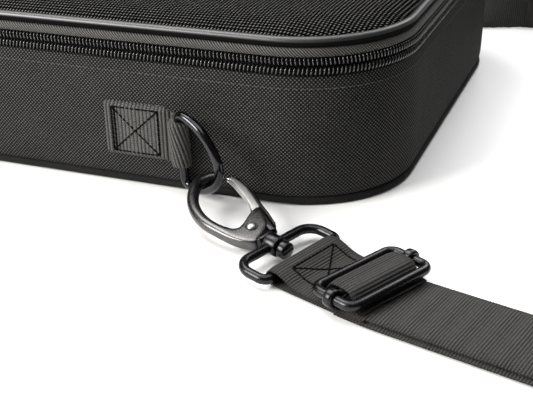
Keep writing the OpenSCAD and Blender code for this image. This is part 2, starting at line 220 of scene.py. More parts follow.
def plain_weave(s, pitch):
    """Height of a plain weave, and 1 where the level thread is on top."""
    u, v = s.cloth()
    cell = s.plus(*[s.math("FLOOR", s.math("DIVIDE", way, pitch)) for way in (u, v)])
    level = s.math("ABSOLUTE", s.math("MODULO", cell, 2.0))
    across = s.wave(u, pitch)
    along = s.wave(v, pitch)
    over = s.times(s.math("POWER", along, 0.6), s.scaled(across, 0.5, 0.5))
    under = s.times(s.math("POWER", across, 0.6), s.scaled(along, 0.5, 0.5))
    first = s.times(over, level)
    second = s.times(under, s.math("SUBTRACT", 1.0, level))
    return s.plus(first, s.times(second, 0.8)), level


def woven_material(name, pitch, dark, light, sheen=0.03):
    """Plain weave with painted light: the level threads are painted lighter than the upright ones, and
    the gaps between threads are painted dark.
    """
    s = Shader(name)
    height, level = plain_weave(s, pitch)
    # Painted light and shade: the colour follows thread height, dark in the gaps between threads, and
    # level threads get far more of it than upright ones; the two mottles are random tone.
    painted_light_and_mottle = s.times(s.math("POWER", height, 1.3), s.scaled(level, 0.95, 0.12))
    painted_light_and_mottle = s.times(painted_light_and_mottle, s.mottle(900.0, 0.75, 1.15))
    painted_light_and_mottle = s.times(painted_light_and_mottle, s.mottle(35.0, 0.9, 1.1, 2.0))
    s.colour(s.mix(painted_light_and_mottle, dark, light))
    s.rough(s.ramp(height, 0.0, 1.0, 0.87, 0.62))
    s.bump(height, 0.25, 0.9)
    return s.set(Sheen_Weight=sheen, Sheen_Roughness=0.4, Specular_IOR_Level=0.04).material


def webbing_material(name, dark, light, pitch):
    """Ribs across the strap, each a row of small beads of thread."""
    s = Shader(name)
    u, v = s.cloth()
    rib = s.math("POWER", s.wave(u, pitch), 0.7)
    row = s.math("MODULO", s.math("FLOOR", s.math("DIVIDE", u, pitch)), 2.0)
    bead = s.wave(s.scaled(row, 0.45, v), 0.9)
    height = s.times(rib, s.scaled(bead, 0.65, 0.4))
    # Painted shade: the colour follows the rib and bead height, near-black in the grooves and light on
    # the tops, with a mottle of random tone.
    s.colour(s.mix(s.times(height, s.mottle(1100.0, 0.7, 1.2)), dark, light))
    s.rough(s.ramp(height, 0.0, 1.0, 0.9, 0.6))
    s.bump(height, 0.3, 0.9)
    return s.set(Sheen_Weight=0.03, Sheen_Roughness=0.4, Specular_IOR_Level=0.2).material


def herringbone_material(name):
    s = Shader(name)
    ridge = s.math("POWER", s.wave(s.plus(*s.cloth()), 1.5), 1.8)
    # Painted light and shade: the ridges of the twill are painted light and the grooves between them
    # near-black, with a mottle of random tone.
    painted_light_and_mottle = s.times(ridge, s.mottle(1000.0, 0.75, 1.2))
    s.colour(s.mix(painted_light_and_mottle, (0.002, 0.002, 0.002), (0.115, 0.112, 0.104)))
    s.bump(ridge, 0.25, 0.9)
    return s.set(Sheen_Weight=0.02, Specular_IOR_Level=0.2).material


def net_material(name):
    """Open knitted net with painted light: strands of one slant painted light, strands of the other
    slant painted dark as shade, and holes painted near-black as the shade under the net.
    """
    s = Shader(name)
    pitch, row_height = 1.75, 1.9
    u, v = s.cloth()
    row = s.math("FLOOR", s.math("DIVIDE", v, row_height))
    # Every other row is moved half a stitch; 400 rows more keep the count above nought.
    shift = s.times(s.math("MODULO", s.plus(row, 400.0), 2.0), 0.87)
    run = s.plus(u, shift)
    strand = s.ramp(s.wave(s.plus(run, s.times(v, -0.5)), pitch), 0.66, 0.96)
    other = s.ramp(s.wave(s.plus(run, s.times(v, 0.9)), pitch), 0.8, 1.0)
    # Painted light and shade: strands of one slant are painted light, and those of the other slant keep
    # only a twenty-fifth of that colour.
    bright = s.times(strand, s.ramp(s.wave(v, row_height), 0.5, 0.9))
    both = s.math("MAXIMUM", bright, s.times(other, 0.04))
    twist = s.ramp(s.noise(700.0), 0.35, 0.65, 0.6, 1.2)
    # Holes painted near-black as the shade under the net; the twist noise is random tone.
    s.colour(s.mix(s.times(both, twist), (0.0003, 0.0003, 0.0003), (0.16, 0.16, 0.152)))
    s.rough(s.ramp(both, 0.0, 1.0, 0.95, 0.5))
    s.bump(both, 0.6, 1.0)
    return s.set(Specular_IOR_Level=0.0).material


def vinyl_material(name):
    """Glossy along the upper half of the piping and matt along the lower half."""
    s = Shader(name)
    s.colour((0.004, 0.004, 0.004))
    run = s.cloth()[1]
    upper = s.times(s.ramp(run, 0.1, 1.1), s.ramp(run, 4.4, 2.6))
    glossy, matt = 0.44, 0.95
    s.rough(s.scaled(upper, glossy - matt, matt))
    s.feed(s.bsdf.inputs["Specular IOR Level"], s.scaled(upper, 0.9, 0.04))
    s.bump(s.noise(2600.0, 2.0), 0.03, 0.5)
    return s.material


def metal_material(name, colour, rough):
    s = Shader(name, rough, 1.0)
    s.colour(s.mix(s.mottle(220.0, detail=4.0), toned(colour, 0.85), toned(colour, 1.12)))
    s.rough(s.mottle(1400.0, rough - 0.05, rough + 0.07, 2.0))
    s.bump(s.noise(2400.0, 2.0), 0.02, 0.5)
    return s.material


def coil_material(name):
    s = Shader(name, 0.24)
    s.colour(s.mix(s.mottle(500.0), (0.003, 0.003, 0.003), (0.008, 0.008, 0.008)))
    s.bump(s.noise(3000.0), 0.02, 0.4)
    return s.set(Specular_IOR_Level=1.0).material


def board_material(name, colour):
    s = Shader(name, 0.7)
    s.colour(s.mix(s.mottle(400.0), toned(colour, 0.8), colour))
    s.bump(s.noise(900.0), 0.1, 0.5)
    return s.set(Specular_IOR_Level=0.05).material


def brushed_material(name, colour):
    """Loop lining: short raised fibres."""
    s = Shader(name, 0.9)
    fibre = s.noise(1500.0, 6.0)
    s.colour(s.mix(s.ramp(fibre, 0.35, 0.7), toned(colour, 0.45), colour))
    s.bump(fibre, 0.5, 0.8)
    return s.set(Sheen_Weight=0.12, Sheen_Roughness=0.5).material


FABRIC = woven_material("body weave", 0.95, (0.0008, 0.0008, 0.0008), (0.1, 0.099, 0.096), sheen=0.0)
BOTTOM = woven_material("bottom weave", 0.6, (0.003, 0.003, 0.003), (0.05, 0.05, 0.05))
PAD_FABRIC = woven_material("pad weave", 0.95, (0.003, 0.003, 0.003), (0.08, 0.08, 0.078))
WEBBING = webbing_material("strap webbing", (0.002, 0.002, 0.002), (0.048, 0.046, 0.045), 1.3)
TAB_WEBBING = webbing_material("tab webbing", (0.002, 0.002, 0.002), (0.105, 0.103, 0.098), 2.0)
BAND = herringbone_material("herringbone tape")
TAPE = herringbone_material("zip tape")
NET = net_material("lid net")
POCKET_NET = woven_material("pocket net", 1.6, (0.01, 0.01, 0.01), (0.12, 0.12, 0.12))
PIPING = vinyl_material("piping vinyl")
COIL = coil_material("coil nylon")
# Near-black thread for the stitches; the same colour also paints the shade on the coil's tape bed and
# in the pin head's slot.
THREAD_AND_SHADE = board_material("thread", (0.002, 0.002, 0.002))
# Wall seam thread painted mid-grey: a painted highlight for the light the dark stitches catch.
SEAM_THREAD_PAINTED_HIGHLIGHT = board_material("seam thread", (0.085, 0.085, 0.082))
PANEL = board_material("bottom panel", (0.03, 0.03, 0.03))
TAPE_BACK = board_material("tape back", (0.03, 0.03, 0.03))
BOARD = board_material("stiffener", (0.06, 0.06, 0.06))
FOAM = board_material("foam", (0.05, 0.05, 0.055))
LINING = brushed_material("lining", (0.055, 0.055, 0.062))
RING_METAL = metal_material("ring metal", (0.04, 0.04, 0.044), 0.16)
HOOK_METAL = metal_material("hook metal", (0.095, 0.092, 0.092), 0.29)
GATE_METAL = metal_material("gate metal", (0.52, 0.515, 0.50), 0.42)
BRIGHT_METAL = metal_material("bright metal", (0.6, 0.6, 0.58), 0.2)
BLACK_METAL = metal_material("black metal", (0.03, 0.03, 0.032), 0.28)


# ---------- mesh helpers ----------

def make_object(name, verts, faces, material, uvs=None, smooth=True):
    """A mesh object from millimetres. uvs gives each vertex its cloth coordinates in millimetres."""
    mesh = bpy.data.meshes.new(name)
    mesh.from_pydata([(v[0] * MM, v[1] * MM, v[2] * MM) for v in verts], [], faces)
    layer = mesh.uv_layers.new(name="cloth")
    if uvs:
        for loop in mesh.loops:
            u, v = uvs[loop.vertex_index]
            layer.data[loop.index].uv = (u * MM, v * MM)
    mesh.materials.append(material)
    for polygon in mesh.polygons:
        polygon.use_smooth = smooth
    mesh.validate()
    made = bpy.data.objects.new(name, mesh)
    bpy.context.scene.collection.objects.link(made)
    return made


def attach(piece, body, slot, *nodes):
    """Rides a piece on its body and hides the nodes it stands for. slot is not used."""
    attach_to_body(piece, body)
    if nodes:
        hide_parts(*nodes)
    return piece


def add(name, shape, material, body, slot, *nodes, smooth=True):
    """A piece made of (vertices, faces) and attached to its body."""
    return attach(make_object(name, *shape, material, smooth=smooth), body, slot, *nodes)


def mirror_copy(piece, name):
    """The same piece for the left-hand side."""
    mesh = piece.data.copy()
    mesh.name = name
    for vertex in mesh.vertices:
        vertex.co.x = -vertex.co.x
    mesh.flip_normals()
    made = bpy.data.objects.new(name, mesh)
    bpy.context.scene.collection.objects.link(made)
    return made


def pair(piece, stem, body_stem, slot, *node_stems):
    """A right-hand piece and its mirrored left-hand copy."""
    piece.name = stem + "_right"
    other = mirror_copy(piece, stem + "_left")
    attach(piece, body_stem.format("right"), slot, *[n + "_right" for n in node_stems])
    attach(other, body_stem.format("left"), slot, *[n + "_left" for n in node_stems])


def add_pair(stem, shape, material, body_stem, slot, *node_stems):
    """A right-hand piece made of (vertices, faces), and its mirrored left-hand copy."""
    pair(make_object(stem, *shape, material), stem, body_stem, slot, *node_stems)


def grid_faces(rows, columns, close_rows=False, close_columns=False, start=0):
    """Quads between rows of points, each row holding columns points."""
    faces = []
    for i in range(rows if close_rows else rows - 1):
        for j in range(columns if close_columns else columns - 1):
            a = start + i * columns + j
            b = start + i * columns + (j + 1) % columns
            c = start + ((i + 1) % rows) * columns + (j + 1) % columns
            d = start + ((i + 1) % rows) * columns + j
            faces.append((a, b, c, d))
    return faces


def bar_faces(rows, columns, start=0):
    """Faces of a solid bar: its sides and then its two ends."""
    faces = grid_faces(rows, columns, False, True, start)
    faces.append(tuple(start + k for k in reversed(range(columns))))
    faces.append(tuple(start + (rows - 1) * columns + k for k in range(columns)))
    return faces


def smooth_path(points, steps):
    """Catmull-Rom curve through tuples of numbers."""
    result = []
    last = len(points) - 1
    for i in range(last):
        corners = [points[min(max(i + k, 0), last)] for k in (-1, 0, 1, 2)]
        for t in [k / steps for k in range(steps)]:
            result.append(tuple(
                0.5 * (2 * b + (c - a) * t + (2 * a - 5 * b + 4 * c - d) * t * t
                       + (3 * b - a - 3 * c + d) * t ** 3)
                for a, b, c, d in zip(*corners)
            ))
    result.append(tuple(points[-1]))
    return result


def tube(points, radius, sides=20, closed=False, start=0):
    """Vertices and faces of a round tube. radius is a number or one number a point."""
    count = len(points)
    points = [Vector(p) for p in points]
    radii = radius if isinstance(radius, (list, tuple)) else [radius] * count
    tangents = []
    for i in range(count):
        before = points[i - 1] if (closed or i > 0) else points[i]
        after = points[(i + 1) % count] if (closed or i < count - 1) else points[i]
        tangents.append((after - before).normalized())
    normal = tangents[0].orthogonal().normalized()
    normals = [normal]
    for i in range(1, count):
        turned = tangents[i - 1].rotation_difference(tangents[i]) @ normals[-1]
        normals.append((turned - tangents[i] * turned.dot(tangents[i])).normalized())
    twist = 0.0
    if closed:
        last = tangents[-1].rotation_difference(tangents[0]) @ normals[-1]
        twist = math.atan2(tangents[0].dot(last.cross(normals[0])), last.dot(normals[0]))
    verts = []
    for i in range(count):
        side = tangents[i].cross(normals[i])
        for k in range(sides):
            angle = 2 * math.pi * k / sides + twist * i / count
            verts.append(points[i] + (normals[i] * math.cos(angle) + side * math.sin(angle)) * radii[i])
    if closed:
        return verts, grid_faces(count, sides, True, True, start)
    return verts, bar_faces(count, sides, start)


def arc(centre, radius, start, end, steps):
    """Points of an arc in a plane, angles in degrees, ends included."""
    angles = [math.radians(start + (end - start) * i / steps) for i in range(steps + 1)]
    return [(centre[0] + radius * math.cos(a), centre[1] + radius * math.sin(a)) for a in angles]


def plan(inset, corner_steps=20, back=True):
    """Stations round the case: (x, y, outward x, outward y, length so far).

    The walk starts in the middle of the back, or at the left end of the zip, and turns left.
    """
    straight_x = HALF_L - CORNER_R
    straight_y = HALF_D - CORNER_R
    stations = []

    def put(x, y, nx, ny):
        outer = (x + nx * inset, y + ny * inset)
        length = 0.0
        if stations:
            previous = stations[-1]
            px, py = previous[0] + previous[2] * inset, previous[1] + previous[3] * inset
            length = previous[4] + math.hypot(outer[0] - px, outer[1] - py)
        stations.append((x, y, nx, ny, length))

    def side(x0, y0, x1, y1, nx, ny, steps):
        for i in range(1, steps):
            t = i / steps
            put(x0 + (x1 - x0) * t, y0 + (y1 - y0) * t, nx, ny)

    def corner(cx, cy, start):
        for i in range(corner_steps + 1):
            a = math.radians(start + 90 * i / corner_steps)
            radius = CORNER_R - inset
            put(cx + radius * math.cos(a), cy + radius * math.sin(a), math.cos(a), math.sin(a))

    if back:
        put(0, HALF_D - inset, 0, 1)
        side(0, HALF_D - inset, -straight_x, HALF_D - inset, 0, 1, 12)
    corner(-straight_x, straight_y, 90)
    side(-HALF_L + inset, straight_y, -HALF_L + inset, -straight_y, -1, 0, 14)
    corner(-straight_x, -straight_y, 180)
    side(-straight_x, -HALF_D + inset, straight_x, -HALF_D + inset, 0, -1, 24)
    corner(straight_x, -straight_y, 270)
    side(HALF_L - inset, -straight_y, HALF_L - inset, straight_y, 1, 0, 14)
    corner(straight_x, straight_y, 0)
    if back:
        side(straight_x, HALF_D - inset, 0, HALF_D - inset, 0, 1, 12)
    return stations


def skirt(name, profile, material, closed=True, ease=None):
    """Sweeps (inset, height) points round the plan. ease(length, height) pushes cloth outwards."""
    base = plan(0.0, back=closed)
    verts, uvs = [], []
    for x, y, nx, ny, length in base:
        run = 0.0
        for k, (inset, z) in enumerate(profile):
            if k:
                run += math.hypot(inset - profile[k - 1][0], z - profile[k - 1][1])
            out = ease(length, z) if ease else 0.0
            verts.append((x + nx * (out - inset), y + ny * (out - inset), z))
            uvs.append((length, run))
    total = base[-1][4] + math.hypot(base[0][0] - base[-1][0], base[0][1] - base[-1][1])
    if closed:
        # A second copy of the first row keeps the cloth's coordinates whole at the seam.
        columns = len(profile)
        verts += verts[:columns]
        uvs += [(total, uv[1]) for uv in uvs[:columns]]
    rows = len(verts) // len(profile)
    return make_object(name, verts, grid_faces(rows, len(profile)), material, uvs)


# ---------- case ----------

def soft_wall(length, z):
    """How far the padded wall bulges: most at mid height, with a slow unevenness along it."""
    t = (z - wall_low.z) / (wall_high.z - wall_low.z)
    swell = math.sin(math.pi * min(max(t, 0.0), 1.0)) ** 0.8
    wobble = 0.25 * math.sin(length / 47.0) + 0.15 * math.sin(length / 19.0 + 1.0)
    return swell * (0.9 + wobble)


def make_wall():
    profile = smooth_path([
        (4.5, 3.6), (2.2, 3.7), (0.8, 4.5), (0.2, 7.5), (0.0, 14.0), (0.0, 24.0), (0.0, 34.0),
        (0.0, 44.0), (0.0, 53.0), (0.1, 58.5), (0.35, 62.2), (0.7, 64.0), (1.6, 64.6), (3.2, 64.4),
    ], 4)
    wall = skirt("wall_cloth", profile, FABRIC, True, soft_wall)
    attach(wall, "case_base", "body_fabric", "wall_fabric")
    seam_z = 58.5
    pushed = []
    for x, y, nx, ny, length in plan(0.0):
        out = soft_wall(length, seam_z)
        pushed.append((x + nx * out, y + ny * out, nx, ny, length))
    # Painted highlight: the seam's stitches are coloured mid-grey for the light they catch.
    add("wall_seam", stitch_row(pushed, seam_z), SEAM_THREAD_PAINTED_HIGHLIGHT, "case_base", "body_fabric")


def round_profile(inset, height, across, up, sides):
    """A closed loop of (inset, height) points round a cord."""
    turns = [2 * math.pi * k / sides for k in range(sides + 1)]
    return [(inset + across * math.cos(a), height + up * math.sin(a)) for a in turns]


def make_bottom():
    welt = skirt("bottom_welt", round_profile(1.9, 1.9, 2.0, 1.9, 16), BOTTOM)
    attach(welt, "case_base", "piping", "bottom_binding")


def stitch_row(stations, z):
    """Stitches as short rods along the plan, with their ends sunk in the cloth."""
    verts, faces = [], []
    stitch, radius, sunk, arch = 3.0, 0.17, -0.08, 0.22
    step = stitch + 0.7
    at = 0.0
    for (x0, y0, nx0, ny0, s0), (x1, y1, nx1, ny1, s1) in zip(stations, stations[1:]):
        while at + stitch <= s1:
            ends = []
            for k in range(4):
                t = (at + stitch * k / 3 - s0) / (s1 - s0)
                nx, ny = nx0 + (nx1 - nx0) * t, ny0 + (ny1 - ny0) * t
                lift = sunk + (0.0 if k in (0, 3) else arch)
                ends.append((x0 + (x1 - x0) * t + nx * lift, y0 + (y1 - y0) * t + ny * lift, z))
            v, f = tube(ends, radius, 5, False, len(verts))
            verts += v
            faces += f
            at += step
    return verts, faces


def make_coils():
    """Two rows of interlocked coil, one turn at a time."""
    stations = plan(0.0, 24, back=False)
    zip_z = joint_pos("lid_hinge").z
    pitch = 1.95
    rows = (
        # name, body, node, direction, shift along the zip, slant of each turn
        ("coil_upper", "lid", "upper_zip_coil", 1, 0.0, 0.25),
        ("coil_lower", "case_base", "lower_zip_coil", -1, 0.5, 0.85),
    )
    for name, body, node, up, shift, slant in rows:
        turn = [
            (-0.1, -0.9, 3.75), (-0.1, 0.35, 3.65), (0.1, 0.72, 3.0), (0.35, 0.8, 2.1),
            (0.6, 0.62, 1.25), (0.85, -0.1, 0.62), (1.0, -0.8, 0.5),
        ]
        verts, faces = [], []
        at = pitch * shift
        for (x0, y0, nx0, ny0, s0), (x1, y1, nx1, ny1, s1) in zip(stations, stations[1:]):
            tx, ty = (x1 - x0) / (s1 - s0), (y1 - y0) / (s1 - s0)
            while at < s1:
                t = (at - s0) / (s1 - s0)
                nx, ny = nx0 + (nx1 - nx0) * t, ny0 + (ny1 - ny0) * t
                points = []
                for along, out, height in turn:
                    a = along * slant
                    points.append((
                        x0 + (x1 - x0) * t + tx * a + nx * out,
                        y0 + (y1 - y0) * t + ty * a + ny * out,
                        zip_z + up * (height + 0.02),
                    ))
                v, f = tube(points, [0.34, 0.36, 0.38, 0.4, 0.42, 0.4, 0.36], 6, False, len(verts))
                verts += v
                faces += f
                at += pitch
        add(name, (verts, faces), COIL, body, "zip_coil", node)
        # The tape behind the coil, painted near-black: partly the tape's own dark colour, partly
        # painted shade under the coil.
        strip = skirt(name + "_bed", [(0.9, zip_z + up * z) for z in (0.3, 4.3)], THREAD_AND_SHADE, False)
        attach(strip, body, "zip_tape")


def make_lid_trim():
    low, high = box_mm("lid_band")
    attach(skirt("herringbone_band", smooth_path([
        (2.4, low.z + 0.1), (1.0, low.z + 0.15), (0.3, low.z + 0.5), (0.0, low.z + 1.4),
        (-0.1, low.z + 2.3), (0.1, low.z + 3.3), (0.7, high.z - 0.1), (2.0, high.z + 0.2),
    ], 3), BAND), "lid", "zip_tape", "lid_band")
    low, high = box_mm("lid_piping")
    radius = (high.z - low.z) / 2
    circle = round_profile(radius + 0.1, (high.z + low.z) / 2, -radius, radius, 24)
    attach(skirt("piping", circle, PIPING), "lid", "piping", "lid_piping")


def crown(name, profile, material, swell):
    """A sheet over the plan: rings from its edge, (inset, height), in to the middle, which swells."""
    rings = smooth_path(profile, 4)
    edge = rings[0][0]
    verts, uvs = [], []
    for inset, z in rings:
        for x, y, nx, ny, length in plan(inset):
            dome = swell * max(0.0, 1 - (x / HALF_L) ** 2) * max(0.0, 1 - (y / HALF_D) ** 2)
            verts.append((x, y, z + dome * min(1.0, (inset - edge) / 20)))
            uvs.append((x, y))
    columns = len(plan(edge))
    faces = grid_faces(len(rings), columns, False, True)
    last = [len(verts) - columns + k for k in range(columns)]
    centre = len(verts)
    verts.append((0.0, 0.0, rings[-1][1] + swell))
    uvs.append((0.0, 0.0))
    faces += [(last[k], last[(k + 1) % columns], centre) for k in range(columns)]
    return make_object(name, verts, faces, material, uvs)


def make_lid_top():
    net = crown("lid_net", [
        (4.3, 78.6), (4.9, 80.4), (6.1, 81.75), (10.5, 83.75), (16.5, 85.5), (24.0, 86.45),
        (32.5, 86.95), (42.0, 87.1), (51.0, 87.1),
    ], NET, 0.8)
    attach(net, "lid", "lid_mesh", "lid_mesh")


def make_hinge():
    """The strip of body cloth along the back edge, where the lid opens."""
    low, high = box_mm("hinge_fabric")
    axis = joint_pos("lid_hinge")
    columns, rows = 60, 24
    verts, uvs = [], []
    for j in range(rows + 1):
        t = j / rows
        z = low.z - 1.0 + (high.z - low.z + 1.6) * t
        bulge = 0.5 * math.sin(math.pi * t) + 0.15 * math.sin(3 * math.pi * t)
        for i in range(columns + 1):
            x = low.x + (high.x - low.x) * i / columns
            verts.append((x, high.y + bulge + 0.12 * math.sin(x / 23.0), z))
            uvs.append((x, z))
    hinge = make_object("hinge_cloth", verts, grid_faces(rows + 1, columns + 1), FABRIC, uvs)
    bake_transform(hinge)
    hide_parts("hinge_fabric")


def make_linings():
    """Soft linings of the base and the lid, and the lid's net pocket with its sewn hem."""
    low, high = box_mm("base_lining")
    side = 8.4
    lining = crown("base_lining_cloth", [
        (side - 5.0, high.z - 0.25), (side - 2.0, high.z + 0.1), (side + 0.3, high.z - 0.3),
        (side + 1.1, high.z - 2.0), (side + 1.0, high.z - 10.0), (side + 1.1, low.z + 20.0),
        (side + 1.5, low.z + 7.0), (side + 4.5, low.z + 2.2), (side + 10.0, low.z + 1.1),
        (side + 22.0, low.z + 0.9), (side + 40.0, low.z + 1.0),
    ], LINING, 0.0)
    attach(lining, "case_base", "lining", "base_lining")
    low, high = box_mm("lid_lining")
    cloth = crown("lid_lining_cloth", [
        (2.6, high.z), (3.0, low.z + 0.1), (6.0, low.z - 0.3), (12.0, low.z - 0.6),
        (20.0, low.z - 0.5), (30.0, low.z - 0.3), (50.0, low.z - 0.2),
    ], LINING, -0.3)
    attach(cloth, "lid", "lining", "lid_lining")
    low = box_mm("lid_pocket")[0]
    net = crown("pocket_net", [
        (22.4, low.z - 0.1), (24.0, low.z - 0.35), (30.0, low.z - 0.6), (40.0, low.z - 0.7),
        (52.0, low.z - 0.7),
    ], POCKET_NET, -0.5)
    attach(net, "lid", "lid_mesh", "lid_pocket")
    hem = skirt("pocket_hem", smooth_path([
        (21.6, low.z + 0.7), (21.6, low.z - 0.2), (22.2, low.z - 0.75), (25.0, low.z - 0.85),
        (28.0, low.z - 0.9), (28.6, low.z - 0.7), (28.8, low.z - 0.3),
    ], 3), TAPE)
    attach(hem, "lid", "zip_tape")


# ---------- webbing ----------

def ribbon(name, rows, width, thick, columns=8, rib=0.0):
    """Webbing along rows of (middle, across, up, length). The selvedges are thinner and rounded."""
    pitch = 1.5
    half = width / 2
    across = [-half + width * k / columns for k in range(columns + 1)]
    verts, uvs = [], []
    for index, (middle, side, up, length) in enumerate(rows):
        middle, side, up = Vector(middle), Vector(side), Vector(up)
        ridge = rib * (abs(math.sin(math.pi * length / pitch)) - 0.5)
        fray = 0.12 * math.sin(length * 5.1) + 0.1 * math.sin(length * 8.3 + 1)
        for face in (1, -1):
            for w in (across if face > 0 else reversed(across)):
                edge = min(1.0, (half - abs(w)) / 1.0)
                lift = thick / 2 * (0.35 + 0.65 * math.sqrt(max(edge, 0.0)))
                lift += ridge * min(1.0, edge + 0.3)
                reach = w
                if abs(w) == half:
                    reach += fray if w > 0 else -fray
                verts.append(middle + side * reach + up * (face * lift))
                uvs.append((length, w + (0 if face > 0 else 3 * width)))
    return make_object(name, verts, bar_faces(len(rows), 2 * (columns + 1)), WEBBING, uvs)


def path_rows(points, across, step):
    """Rows for a ribbon whose middle line runs through points, always level across."""
    line = [Vector(p) for p in points]
    lengths = [0.0]
    for a, b in zip(line, line[1:]):
        lengths.append(lengths[-1] + (b - a).length)
    rows = []
    count = max(2, round(lengths[-1] / step))
    j = 0
    for i in range(count + 1):
        at = lengths[-1] * i / count
        while j < len(line) - 2 and lengths[j + 1] < at:
            j += 1
        t = (at - lengths[j]) / (lengths[j + 1] - lengths[j])
        middle = line[j].lerp(line[j + 1], t)
        before = line[max(j - 1, 0)]
        after = line[min(j + 2, len(line) - 1)]
        tangent = (line[j + 1] - line[j]).lerp(after - before, 0.5).normalized()
        rows.append((middle, across, tangent.cross(across).normalized() * -1, at))
    return rows


def rods(lines, radius, sides=6):
    """Several separate rods as one mesh."""
    verts, faces = [], []
    for points in lines:
        v, f = tube(points, radius, sides, False, len(verts))
        verts += v
        faces += f
    return verts, faces


def stitched(corners, point_at, gap=0.5, thread=0.4):
    """Stitches along lines between corners; point_at(a, b, lift) gives a place on the cloth."""
    stitch = 2.1
    lines = []
    for (a0, b0), (a1, b1) in corners:
        length = math.hypot(a1 - a0, b1 - b0)
        count = max(1, round(length / (stitch + gap)))
        for i in range(count):
            t0 = i / count
            t1 = t0 + stitch / (stitch + gap) / count
            pts = []
            for k, lift in enumerate((-0.25, 0.12, 0.18, 0.12, -0.25)):
                t = t0 + (t1 - t0) * k / 4
                pts.append(point_at(a0 + (a1 - a0) * t, b0 + (b1 - b0) * t, lift))
            lines.append(pts)
    return rods(lines, thread)


def box_x(a0, a1, b0, b1):
    """The four sides and two diagonals of a box-X seam."""
    p, q, r, s = (a0, b0), (a1, b0), (a1, b1), (a0, b1)
    return [(p, q), (q, r), (r, s), (s, p), (p, r), (q, s)]


# ---------- tab and D-ring ----------

ring_pos = joint_pos("dring_hinge_right")
ring_up = joint_axis("dring_hinge_right")
ring_low, ring_high = box_mm("dring_right")
ring_out = (ring_low + ring_high) / 2 - ring_pos
ring_out = (ring_out - ring_up * ring_out.dot(ring_up)).normalized()


def make_dring():
    reach, half, end_r, corner_r = 27.4, 19.5, 12.4, 4.0
    run = reach - end_r - corner_r
    side_r = (run ** 2 + half ** 2 - end_r ** 2) / (2 * (half - end_r))
    angle = math.degrees(math.atan2(side_r - half, run))
    flat = [(0.0, -half + corner_r + (2 * half - 2 * corner_r) * k / 8) for k in range(8)]
    flat += arc((corner_r, half - corner_r), corner_r, 180, 90, 8)[:-1]
    flat += arc((corner_r, half - side_r), side_r, 90, angle, 18)[:-1]
    flat += arc((reach - end_r, 0), end_r, angle, -angle, 14)[:-1]
    flat += arc((corner_r, side_r - half), side_r, -angle, -90, 18)[:-1]
    flat += arc((corner_r, corner_r - half), corner_r, 270, 180, 8)[:-1]
    points = [ring_pos + ring_out * a + ring_up * b for a, b in flat]
    wire = tube(points, RING_R + 0.08, 28, True)
    add_pair("dring_wire", wire, RING_METAL, "dring_{}", "ring_metal", "dring")


TAB_LOW, TAB_HIGH = 15.4, 43.4
TAB_LEFT = HALF_L - 141.0


def tab_section(z):
    """Outline of the folded tab at a height, going round it, as (x, y) in the plan."""
    bar = ring_pos + ring_up * ((z - ring_pos.z) / ring_up.z)
    face = FRONT_Y - 3.0
    points = [
        (TAB_LEFT, FRONT_Y - 0.1), (TAB_LEFT, FRONT_Y - 1.6), (TAB_LEFT + 1.2, face + 0.3),
        (TAB_LEFT + 5.2, face + 0.3), (TAB_LEFT + 10, face - 0.15), (TAB_LEFT + 20, face - 0.2),
        (TAB_LEFT + 30.4, face + 0.1), (TAB_LEFT + 33.6, face + 0.5), (TAB_LEFT + 35.8, face + 1.3),
        (bar.x - 6.2, face + 0.6),
    ]
    points += arc((bar.x - 0.9, bar.y + 0.6), RING_R + 2.6, 185, 400, 14)
    points += [(bar.x - 1.5, FRONT_Y - 0.6), (bar.x - 6.0, FRONT_Y - 0.1)]
    return points


def make_tab():
    rows = 30
    pitch = 2.0
    verts, uvs = [], []
    for i in range(rows + 1):
        z = TAB_LOW + (TAB_HIGH - TAB_LOW) * i / rows
        outline = smooth_path(tab_section(z), 10)
        columns = len(outline)
        edge = min(1.0, min(i, rows - i) / 2.0)
        length = 0.0
        for k, (x, y) in enumerate(outline):
            if k:
                length += math.hypot(x - outline[k - 1][0], y - outline[k - 1][1])
            before, after = outline[max(k - 1, 0)], outline[min(k + 1, columns - 1)]
            tx, ty = after[0] - before[0], after[1] - before[1]
            size = math.hypot(tx, ty) or 1.0
            nx, ny = ty / size, -tx / size
            out = 0.42 * (abs(math.sin(math.pi * length / pitch)) - 0.6) * (0.4 + 0.6 * edge)
            out -= 0.35 * (1 - edge)
            fray = 0.2 * math.sin(length * 4.3) if i in (0, rows) else 0.0
            # Stitches pull the plate's top and bottom edges in; the ring squeezes the fold from above.
            depth = FRONT_Y - y
            pressed = 0.45 + 0.55 * edge if x < TAB_LEFT + 33 else 1.0
            squeeze = 3.2 * min(1.0, max(0.0, (x - TAB_LEFT - 33.0) / 5.0))
            squeeze *= max(0.0, (z - 24.0) / (TAB_HIGH - 24.0))
            front = min(FRONT_Y - depth * pressed + ny * out, FRONT_Y - 0.05)
            verts.append((x + nx * out, front, z + fray - squeeze))
            uvs.append((length, z))
    tab = make_object("tab", verts, bar_faces(rows + 1, columns), TAB_WEBBING, uvs)
    pair(tab, "tab_webbing", "case_base", "webbing", "tab")

    def on_face(x, z, lift):
        return (x, FRONT_Y - 3.15 - lift, z)

    left, right = TAB_LEFT + 4.6, TAB_LEFT + 29.6
    seams = box_x(left, right, TAB_LOW + 2.8, TAB_HIGH - 2.4)
    seams.append(((left + 1.6, TAB_LOW + 2.8), (left + 1.6, TAB_HIGH - 2.4)))
    add_pair("tab_seam", stitched(seams, on_face), THREAD_AND_SHADE, "case_base", "webbing")


# ---------- swivel loop and hook ----------

fold_pos = joint_pos("loop_hinge_right")
loop_x = joint_axis("hook_swivel_right")
loop_y = joint_axis("loop_hinge_right")
loop_z = loop_x.cross(loop_y)
boss_pos = joint_pos("hook_swivel_right")
hook_z = joint_axis("gate_pivot_right")
hook_y = hook_z.cross(loop_x)
BAR_GAP = (fold_pos - boss_pos).length


def in_loop(u, t, h=0.0):
    return fold_pos + loop_x * u + loop_y * t + loop_z * h


